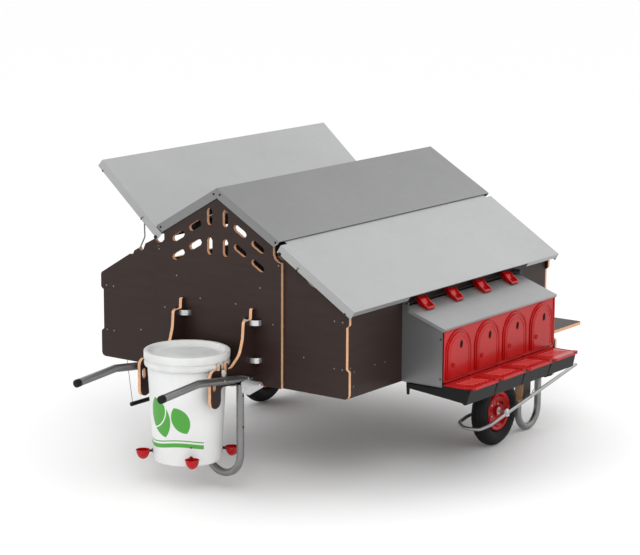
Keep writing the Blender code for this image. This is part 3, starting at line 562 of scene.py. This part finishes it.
def lever(name, side):
    out = LEVER_X
    body = f"lever_{name}"
    path = [(out, 2.211, 0.327, 0), (out, 1.275, 0.1590, 0.05), (out - 0.012, 1.185, 0.152, 0.03),
            (WHEEL_X, 1.125, 0.160, 0.05), (0.746, 1.185, 0.172, 0.03), (0.738, 1.275, 0.184, 0.05),
            (0.738, 1.520, 0.200, 0)]
    points = bends([(side * x, y, z, r) for x, y, z, r in path], 10)
    lo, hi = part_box(f"wheel_lever_{name}")
    origin = Vector(((lo.x + hi.x) / 2, HOME.y + 1.70, 0.235))
    ob = add(f"lever_look_{name}", tube(points, LEVER_R, 20), BRIGHT, body, origin)
    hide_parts(f"wheel_lever_{name}")
    bm = tube([at(side * 0.735, WHEEL_Y, WHEEL_Z), at(side * (out + 0.003), WHEEL_Y, WHEEL_Z)], 0.0095, 20)
    disc(at(side * (WHEEL_X + 0.031), WHEEL_Y, WHEEL_Z), (side, 0, 0), 0.015, 0.010, bm, 6, 0.3)
    disc(at(side * (WHEEL_X + 0.030), WHEEL_Y, WHEEL_Z), (side, 0, 0), 0.020, 0.003, bm, 24, 0.2)
    pin = [at(side * 0.828, PIVOT_Y, PIVOT_Z), at(side * (out + 0.012), PIVOT_Y, PIVOT_Z)]
    tube(pin, 0.006, 14, bm)
    add(f"axle_look_{name}", bm, ZINC, body, origin)
    lug = rounded([(1.415, 0.180), (1.470, 0.170), (1.478, 0.196), (1.452, 0.219), (1.424, 0.214)], 0.008)
    x = sorted((side * (out - 0.0025), side * (out + 0.0035)))
    bm = prism(lug, "X", *x)
    disc(at(side * (out + 0.003), WHEEL_Y, WHEEL_Z), (side, 0, 0), 0.010, 0.007, bm, 6, 0.3)
    head = at(side * (out + LEVER_R - 0.002), PIVOT_Y, PIVOT_Z)
    disc(head, (side, 0, 0), 0.0085, 0.007, bm, BOLT_SIDES, 0.3)
    hook = [(1.722, 0.247), (1.726, 0.262), (1.738, 0.268), (1.746, 0.260)]
    tube([at(side * out, y, z) for y, z in hook], 0.0035, 10, bm)
    add(f"lever_lug_{name}", bm, ZINC, body, origin)


def rear_leg(name, side):
    x = side * 0.790
    front, rear, r = 1.7347, 1.9517, 0.1075
    path = [(x, front, 0.541, 0), (x, front, 0.0203, r), (x, rear, 0.0203, r), (x, rear, 0.440, 0)]
    points = bends(path, 14)
    points.insert(-1, points[-1] - Vector((0, 0, 0.070)))
    last = len(points) - 1
    bm = tube(points, TUBE_R, 24, sizes={last: (1.12, 0.42)})
    ob = add(f"rear_leg_look_{name}", bm, STEEL, "house")
    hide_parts(f"rear_leg_{name}")
    bm = disc(at(x, rear + 0.0075, 0.405), (0, 1, 0), 0.009, 0.006, steps=6)
    disc(at(x, front - 0.0185, 0.470), (0, -1, 0), 0.008, 0.005, bm, 6)
    disc(at(x + side * 0.0185, front, 0.500), (side, 0, 0), 0.008, 0.0012, bm, 16)
    add(f"rear_leg_bolts_{name}", bm, SCREW, "house")


def front_leg():
    """Bent front leg, with a flat gusset at its top that runs to the wall."""
    y, r, bottom = -0.165, 0.1085, 0.0992
    bend = arc((HANDLE_X - r, bottom + r), r, 0, -142, 30)
    points = [at(HANDLE_X, y, 0.583)] + [at(x, y, z) for x, z in bend]
    ob = add("front_leg_look", tube(points, TUBE_R, 24), STEEL, "house")
    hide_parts("front_leg")
    bm = bmesh.new()
    gusset = rounded([(-0.186, 0.600), (-0.146, 0.607), (-0.010, 0.566), (-0.003, 0.552), (-0.003, 0.540),
                      (-0.120, 0.520), (-0.180, 0.545)], 0.005)
    prism(gusset, "X", 0.2965, 0.3005, bm)
    for py, pz in ((-0.165, 0.562), (-0.030, 0.553)):
        disc(at(0.300, py, pz), (1, 0, 0), 0.009, 0.006, bm, 6)
    add("front_leg_gusset", bm, ZINC, "house")
    # Bolt holes in the leg, drawn as discs of painted shade.
    bm = bmesh.new()
    for z in (0.525, 0.360):
        disc(at(0.2954, y, z), (1, 0, 0), 0.0065, 0.0012, bm, 20, 0.1)
    add("front_leg_hole_shade", bm, HOLE_SHADE, "house")


def handle(name, side):
    x = side * HANDLE_X
    path = [(x, -0.785, 0.628, 0), (x, -0.499, 0.650, 0.12), (x, -0.088, 0.602, 0)]
    points = bends(path, 12)
    points.insert(-1, points[-1] + (points[-2] - points[-1]).normalized() * 0.080)
    last = len(points) - 1
    bm = tube(points, TUBE_R, 24, sizes={last: (1.20, 0.36)})
    for y in (-0.120, -0.312):
        z = 0.602 + 0.048 * ((-0.088 - y) / 0.411)
        ends = [at(side * 0.2433, y, z), at(x, y, z)]
        tube(ends, 0.0090, 16, bm)
        disc(at(x + side * 0.0185, y, z), (side, 0, 0), 0.010, 0.007, bm, 6)
    ob = add(f"handle_look_{name}", bm, STEEL, "house")
    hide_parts(f"handle_{name}")
    way = (at(x, -0.785, 0.628) - at(x, -0.499, 0.650)).normalized()
    lo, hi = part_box(f"handle_cap_{name}")
    start = at(x, -0.785, 0.628)
    cap = hi.y - lo.y
    stops = [(-0.012, 1.0), (0.0, 1.0), (cap * 0.55, 1.0), (cap * 0.8, 0.93), (cap * 0.95, 0.70), (cap, 0.30)]
    pts = [start + way * s for s, _ in stops]
    sizes = {i: (k, k) for i, (_, k) in enumerate(stops)}
    bm = tube(pts, 0.0209, 32, sizes=sizes)
    ob = add(f"handle_cap_look_{name}", bm, BLACK, "house", start)
    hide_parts(f"handle_cap_{name}")


# ---------------------------------------------------------------- drinker
def bucket():
    y, base, top = BUCKET_Y, BUCKET_BASE, BUCKET_TOP
    centre = at(0, y, 0)
    profile = [(0.0, base + 0.008), (0.152, base + 0.008), (0.157, base + 0.002), (0.160, base),
               (0.172, base),
               (0.176, base + 0.003), (0.178, base + 0.010), (0.184, base + 0.120), (0.204, 0.664),
               (0.2062, 0.664), (0.2062, 0.728), (0.203, 0.728), (0.201, 0.664), (0.175, base + 0.013),
               (0.0, base + 0.012)]
    ob = add("bucket_look", lathe(profile, (0, 0, 1), centre, 128), printed_bucket(0.19), "water_bucket",
             centre, 40)
    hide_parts("bucket")
    bm = bmesh.new()
    for _, side in sides():
        tube([at(side * 0.200, y, 0.651), at(side * 0.2425, y, 0.651)], 0.018, 32, bm)
    pins = add("bucket_pins", bm, WHITE, "water_bucket", centre)
    bevel(pins, 0.002)
    lid = [(0.0, 0.717), (0.150, 0.717), (0.193, 0.715), (0.197, 0.7365), (0.2065, 0.7365), (0.2069, 0.671),
           (0.2185, 0.670), (0.2205, 0.673), (0.2208, 0.688), (0.2192, 0.692), (0.2175, 0.693),
           (0.2175, 0.703), (0.2192, 0.704), (0.2222, 0.707), (0.223, 0.710), (0.223, top - 0.008),
           (0.2218, top - 0.003), (0.217, top), (0.203, top), (0.199, top - 0.002), (0.1965, top - 0.007),
           (0.1915, 0.7225), (0.188, 0.7202), (0.160, 0.7202), (0.155, 0.7222), (0.060, 0.7222),
           (0.0, 0.7222)]
    ob = add("bucket_lid_look", lathe(lid, (0, 0, 1), centre, 128), WHITE, "water_lid",
             centre, 40)
    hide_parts("bucket_lid")


def cup(i, azimuth):
    """Flared red cup with a rolled lip, a black stem and its valve pin."""
    height, size = 0.218, CUP_R
    t = radians(azimuth - 90)
    way = Vector((cos(t), sin(t), 0))
    wall_r = 0.178 + 0.026 * (height - BUCKET_BASE) / 0.5
    centre = at(0, BUCKET_Y, height) + way * (wall_r + 0.016 + size)
    bowl = [(size * cos(a), size * 1.35 * sin(a)) for a in [radians(-90 + 90 * k / 14) for k in range(15)]]
    bowl[0] = (0.0, bowl[0][1])
    bowl += [(size + 0.0022, 0.0002), (size + 0.0030, 0.0012), (size + 0.0022, 0.0028), (size, 0.0030),
             (size - 0.0024, 0.0016)]
    bowl += [((size - 0.0025) * cos(a), (size * 1.35 - 0.0025) * sin(a)) for a in
             [radians(-90 * k / 12) for k in range(1, 12)]]
    bowl += [(0.0, -(size * 1.35 - 0.0025))]
    bm = lathe(bowl, (0, 0, 1), centre, 48)
    ob = add(f"cup_look_{i}", bm, RED, "water_bucket", centre, 45)
    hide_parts(f"cup_{i}")
    back = centre - way * (0.016 + size - 0.001) - Vector((0, 0, 0.003))
    near = centre - way * (size - 0.003) - Vector((0, 0, 0.005))
    bm = tube([back, near], 0.0068, 18)
    disc(back, way, 0.011, 0.004, bm, 6, 0.2)
    tip = centre - way * (size - 0.016) - Vector((0, 0, 0.012))
    tube([near, tip], 0.0025, 10, bm)
    disc(at(0, BUCKET_Y, height + 0.052) + way * (wall_r + 0.0018), way, 0.0045, 0.0016, bm, 16)
    add(f"cup_stem_{i}", bm, BLACK, "water_bucket", centre)


for name, side in sides():
    tyre(name, side)
    rim(name, side)
    lever(name, side)
    rear_leg(name, side)
    handle(name, side)
front_leg()
bucket()
for i, azimuth in enumerate((45, 135, 225, 315)):
    cup(i + 1, azimuth)


# ---------------------------------------------------------------- nests
def nest_front():
    """Moulded front: four arches with double raised rims, peep holes and bosses."""
    low, high, face = NEST_LOW, NEST_HIGH, NEST_FACE
    bm = box((face, face + 0.006), (low, high), (0.566, 0.851))
    box((face, face + 0.0105), (low, high), (0.838, 0.851), bm)
    box((face, face + 0.0105), (low, low + 0.010), (0.566, 0.851), bm)
    box((face, face + 0.0105), (high - 0.010, high), (0.566, 0.851), bm)
    box((face, face + 0.0105), (low, high), (0.566, 0.576), bm)
    pitch = (high - low) / NESTS
    foot = 0.585
    for i in range(NESTS):
        mid = low + (i + 0.5) * pitch
        for radius, depth in ((0.120, 0.0095), (0.108, 0.0135)):
            outline = [(mid + radius, foot)] + arc((mid, 0.712), radius, 0, 180, 32) + [(mid - radius, foot)]
            prism(outline, "X", face + 0.002, face + depth, bm)
        rims = ((0.119, 0.0095, 0.0030), (0.105, 0.0138, 0.0028), (0.088, 0.0138, 0.0020))
        for radius, depth, thick in rims:
            path = [(mid + radius, foot + 0.004)] + arc((mid, 0.712), radius, 0, 180, 32)
            path.append((mid - radius, foot + 0.004))
            tube([at(face + depth, y, z) for y, z in path], thick, 8, bm)
    ob = add("nest_front_look", bm, RED, "house")
    bevel(ob, 0.0012)
    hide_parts("nest_front")
    bm = bmesh.new()
    for i in range(NESTS):
        mid = low + (i + 0.5) * pitch
        spot = at(face + 0.0135, mid - 0.062, 0.655)
        ring = [(0.010, 0), (0.013, 0), (0.013, 0.003), (0.0115, 0.0045), (0.010, 0.003)]
        lathe(ring, (1, 0, 0), spot, 24, bm)
        disc(spot, (1, 0, 0), 0.0055, 0.0045, bm, 20)
    add("nest_bosses", bm, RED, "house")
    # Peep holes, drawn as ovals of painted shade.
    bm = bmesh.new()
    for i in range(NESTS):
        mid = low + (i + 0.5) * pitch + 0.018
        oval = [(mid + 0.0125 * cos(t), 0.752 + 0.0205 * sin(t) + 0.004 * cos(t)) for t in
                [2 * pi * k / 28 for k in range(28)]]
        prism(oval, "X", face + 0.012, face + 0.0146, bm)
    add("nest_peep_hole_shade", bm, HOLE_SHADE, "house")
    bm = bmesh.new()
    for i in range(NESTS):
        y = TRAY_START + (i + 1) * TRAY_PITCH - 0.012
        disc(at(1.0740, y, 0.5700), (0, 0, 1), 0.0045, 0.004, bm, 12)
    add("nest_hinge_pins", bm, BLACK, "house")


def tray_lid(i):
    """The slotted lid's bright rolled rim and its upturned far corner, with slot rims in pale red as a
    painted highlight.
    """
    body = f"egg_lid_{i + 1}"
    y0 = TRAY_START + i * TRAY_PITCH
    y1 = y0 + 0.2695
    z = 0.5675
    rim = rounded([(1.083, y0 + 0.0025), (1.2045, y0 + 0.0025), (1.2475, y0 + 0.0465), (1.2475, y1 - 0.0025),
                   (1.083, y1 - 0.0025)], 0.006)
    bm = tube([at(x, y, z) for x, y in rim[4:-3]], 0.0026, 8)
    box((1.2462, 1.2508), (y0 + 0.044, y1 - 0.004), (0.5560, 0.5695), bm)
    start, end = at(1.2075, y0 + 0.0015, z), at(1.2500, y0 + 0.0445, z)
    way = (end - start).normalized()
    out = Vector((way.y, -way.x, 0))
    corner = [start, end, end - out * 0.004, start - out * 0.004]
    sweep([[Vector((p.x, p.y, h)) for p in corner] for h in (0.5560, 0.5695)], bm)
    for k in range(4):
        x = 1.112 + 0.030 * k
        box((x, x + 0.003), (y0 + 0.008, y0 + 0.040), (0.5670, 0.5690), bm)
    tip = [(1.225, y1 - 0.004), (1.2508, y1 - 0.004), (1.2508, y1 - 0.040)]
    sweep([[at(x, y, h) for x, y in tip] for h in (0.5665, 0.5745)], bm)
    add(f"tray_lid_rim_{i + 1}", bm, RED, body)
    # The slot rims get a pale red painted highlight.
    bm = bmesh.new()
    for k in range(5):
        cx, cy = 1.162, y0 + 0.085 + 0.032 * k
        turn = radians(-72)
        ring = []
        for t, s in [(a, 1) for a in range(-90, 91, 30)] + [(a, -1) for a in range(90, 271, 30)]:
            u = 0.042 * s + 0.0048 * cos(radians(t))
            v = 0.0048 * sin(radians(t))
            ring.append((cx + u * sin(turn) * -1 + v * cos(turn), cy + u * cos(turn) + v * sin(turn)))
        path = [at(x, y, 0.5677) for x, y in ring]
        path.append(path[0])
        tube(path, 0.0013, 6, bm)
    add(f"tray_lid_slot_highlight_rims_{i + 1}", bm, SLOT_HIGHLIGHT, body)


def clip(i):
    """Thick red clip over the rod, with two ribs and three round holes drawn as discs of painted shade."""
    lo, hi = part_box(f"lid_clip_{i + 1}")
    y = (lo.y + hi.y) / 2 - HOME.y
    x, z = ROD_X, ROD_Z
    outline = [(x - 0.013, z + 0.016), (x - 0.004, z + 0.022), (x + 0.010, z + 0.016), (x + 0.020, z + 0.002),
               (0.872, 0.9440), (0.906, 0.9330), (0.909, 0.9265), (0.905, 0.9215), (0.868, 0.9340),
               (0.846, 0.944), (x + 0.006, z - 0.006), (x - 0.010, z - 0.007), (x - 0.015, z)]
    bm = prism(outline, "Y", y - 0.036, y + 0.036)
    ob = add(f"clip_look_{i + 1}", bm, RED, "nest_roof", at(x, y, z))
    bevel(ob, 0.003, 3)
    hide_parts(f"lid_clip_{i + 1}")
    bm = bmesh.new()
    for k in (-1, 1):
        rib = [(x - 0.006, z + 0.018), (x + 0.010, z + 0.022), (x + 0.028, z + 0.004),
               (0.904, 0.936), (0.904, 0.929),
               (0.866, 0.940)]
        prism(rib, "Y", y + k * 0.033 - 0.003, y + k * 0.033 + 0.003, bm)
    add(f"clip_ribs_{i + 1}", bm, RED, "nest_roof", at(x, y, z))
    # The three holes, drawn as discs of painted shade.
    bm = bmesh.new()
    way = Vector((0.076, 0, 0.224)).normalized()
    for k in (-1, 0, 1):
        disc(at(0.889, y + 0.020 * k, 0.9378), way, 0.0068, 0.0012, bm, 20, 0.05)
    add(f"clip_hole_shade_{i + 1}", bm, HOLE_SHADE, "nest_roof")


# ---------------------------------------------------------------- fittings
def strap(name, x, z, rise, y=0.0):
    """Galvanised strap arched over a plywood hook and screwed to the wall."""
    half = 0.052
    mid = [(x - half * cos(radians(t)), rise * sin(radians(t)) ** 0.7) for t in range(0, 181, 12)]
    outer = [(a, y - 0.0022 - b) for a, b in mid]
    inner = [(a, y - 0.0002 - b) for a, b in mid]
    bm = bmesh.new()
    rows = [[at(a, b, h) for a, b in outer + inner[::-1]] for h in (z - 0.0140, z + 0.0140)]
    sweep(rows, bm)
    for t in (24, 156):
        a = x - half * cos(radians(t))
        b = rise * sin(radians(t)) ** 0.7
        disc(at(a, y - 0.0021 - b, z), (-0.8 * cos(radians(t)), -1, 0), 0.0050, 0.0030, bm, 6)
    add(name, bm, ZINC, "house", smooth=30)


def wall_screws():
    bm = bmesh.new()
    centre = ((0.277, 1.058), (0.118, 0.955), (0.360, 0.877), (0.396, 1.188))
    front = [(s * x, 0.0, z) for s in (-1, 1) for x, z in centre]
    wing = [(s * x, 0.018, z) for s in (-1, 1) for x in (0.786, 0.736) for z in (0.941, 0.696)]
    wing += [(s * 0.544, 0.018, 0.727) for s in (-1, 1)]
    for x, y, z in front + wing:
        disc(at(x, y, z), (0, -1, 0), 0.0044, 0.0016, bm, 16)
    for x, y, z in [spot for spot in front + wing if spot[2] > 0.92]:
        disc(at(x, HOUSE_LENGTH - y, z), (0, 1, 0), 0.0044, 0.0016, bm, 16)
    for y, z in ((0.054, 0.702), (0.087, 0.677), (0.083, 0.601), (0.270, 0.680), (0.362, 0.677)):
        for side in (-1, 1):
            disc(at(side * WALL_X, y, z), (side, 0, 0), 0.0042, 0.0016, bm, 16)
    add("wall_screws", bm, SCREW, "house")
    bm = bmesh.new()
    for z in (0.800, 0.590):
        disc(at(1.050, NEST_LOW, z), (0, -1, 0), 0.0050, 0.003, bm, 16)
        disc(at(1.050, NEST_HIGH, z), (0, 1, 0), 0.0050, 0.003, bm, 16)
    add("nest_side_screws", bm, BLACK, "house")


def roof_fittings():
    """Pivot bolts and fixing screws in the folded gable edges of the roof."""
    slope = Vector((cos(radians(-FLAP_PITCH)), sin(radians(-FLAP_PITCH))))
    for end, y, out in (("front", -0.0062, -1), ("rear", 1.9982, 1)):
        bm = bmesh.new()
        for s in (-1, 1):
            for x in (0.020, 0.380):
                z = 1.5515 - x * (1.5515 - 1.314) / 0.406 - 0.022
                disc(at(s * x, y, z), (0, out, 0), 0.0060, 0.0026, bm, 16)
        add(f"ridge_screws_{end}", bm, BLACK, "house")
    for name, side in sides():
        for end, y, out in (("front", -0.0122, -1), ("rear", 2.0002, 1)):
            bm = bmesh.new()
            pivot = Vector(FLAP_PIVOT)
            if name == "left":
                t = radians(FLAP_OPEN)
                turn = Vector((slope.x * cos(t) - slope.y * sin(t), slope.x * sin(t) + slope.y * cos(t)))
            else:
                turn = slope
            for s in (0.131, 0.485):
                p = pivot + turn * s
                disc(at(side * p.x, y, p.y), (0, out, 0), 0.0052, 0.0010, bm, 16, 0.1)
            disc(at(side * pivot.x, y, pivot.y), (0, out, 0), 0.0110, 0.0060, bm, 6, 0.3)
            add(f"flap_bolts_{name}_{end}", bm, BLACK, f"flap_{name}")


nest_front()
for i in range(NESTS):
    tray_lid(i)
    clip(i)
strap("strap_right_upper", 0.2335, 0.878, 0.040)
strap("strap_right_lower", 0.2335, 0.679, 0.036)
strap("strap_left_upper", -0.2335, 0.873, 0.040)
strap("strap_left_lower", -0.2335, 0.679, 0.036)
wall_screws()
roof_fittings()


# ---------------------------------------------------------------- stage
def stage():
    bm = bmesh.new()
    bmesh.ops.create_grid(bm, x_segments=1, y_segments=1, size=60)
    mesh = bpy.data.meshes.new("studio_floor")
    bm.to_mesh(mesh)
    bm.free()
    ob = bpy.data.objects.new("studio_floor", mesh)
    bpy.context.scene.collection.objects.link(ob)
    mesh.materials.append(FLOOR)
    world = bpy.context.scene.world or bpy.data.worlds.new("studio")
    bpy.context.scene.world = world
    world.use_nodes = True
    back = world.node_tree.nodes["Background"]
    back.inputs[0].default_value = (1.0, 1.0, 1.0, 1.0)
    back.inputs[1].default_value = 1.06


def lamp(name, place, aim, size, power):
    light = bpy.data.lights.new(name, "AREA")
    light.shape = "RECTANGLE"
    light.size, light.size_y = size
    light.energy = power
    ob = bpy.data.objects.new(name, light)
    bpy.context.scene.collection.objects.link(ob)
    ob.location = place
    ob.rotation_euler = (Vector(aim) - Vector(place)).to_track_quat("-Z", "Y").to_euler()


def camera():
    yaw, pitch, roll = radians(36.08), radians(11.15), radians(0.26)
    ahead = Vector((-sin(yaw) * cos(pitch), cos(yaw) * cos(pitch), -sin(pitch)))
    right = Vector((cos(yaw), sin(yaw), 0.0))
    up = right.cross(ahead)
    side = right * cos(roll) + up * sin(roll)
    top = up * cos(roll) - right * sin(roll)
    cam = bpy.data.cameras.new("camera")
    cam.lens = 126.4
    cam.sensor_width = 36.0
    ob = bpy.data.objects.new("camera", cam)
    bpy.context.scene.collection.objects.link(ob)
    rot = Matrix((side, top, -ahead)).transposed().to_4x4()
    ob.matrix_world = Matrix.Translation(at(7.1784, -8.9489, 3.3414)) @ rot
    bpy.context.scene.camera = ob


stage()
lamp("key", at(5.0, -5.5, 6.5), at(0, 0.8, 0.6), (4.0, 4.0), 210)
lamp("fill", at(-6.0, -5.0, 4.0), at(0, 0.5, 0.6), (5.0, 4.0), 60)
lamp("back", at(2.0, 7.0, 6.0), at(0, 1.0, 0.8), (6.0, 4.0), 70)
camera()
bpy.context.scene.view_settings.view_transform = "Standard"
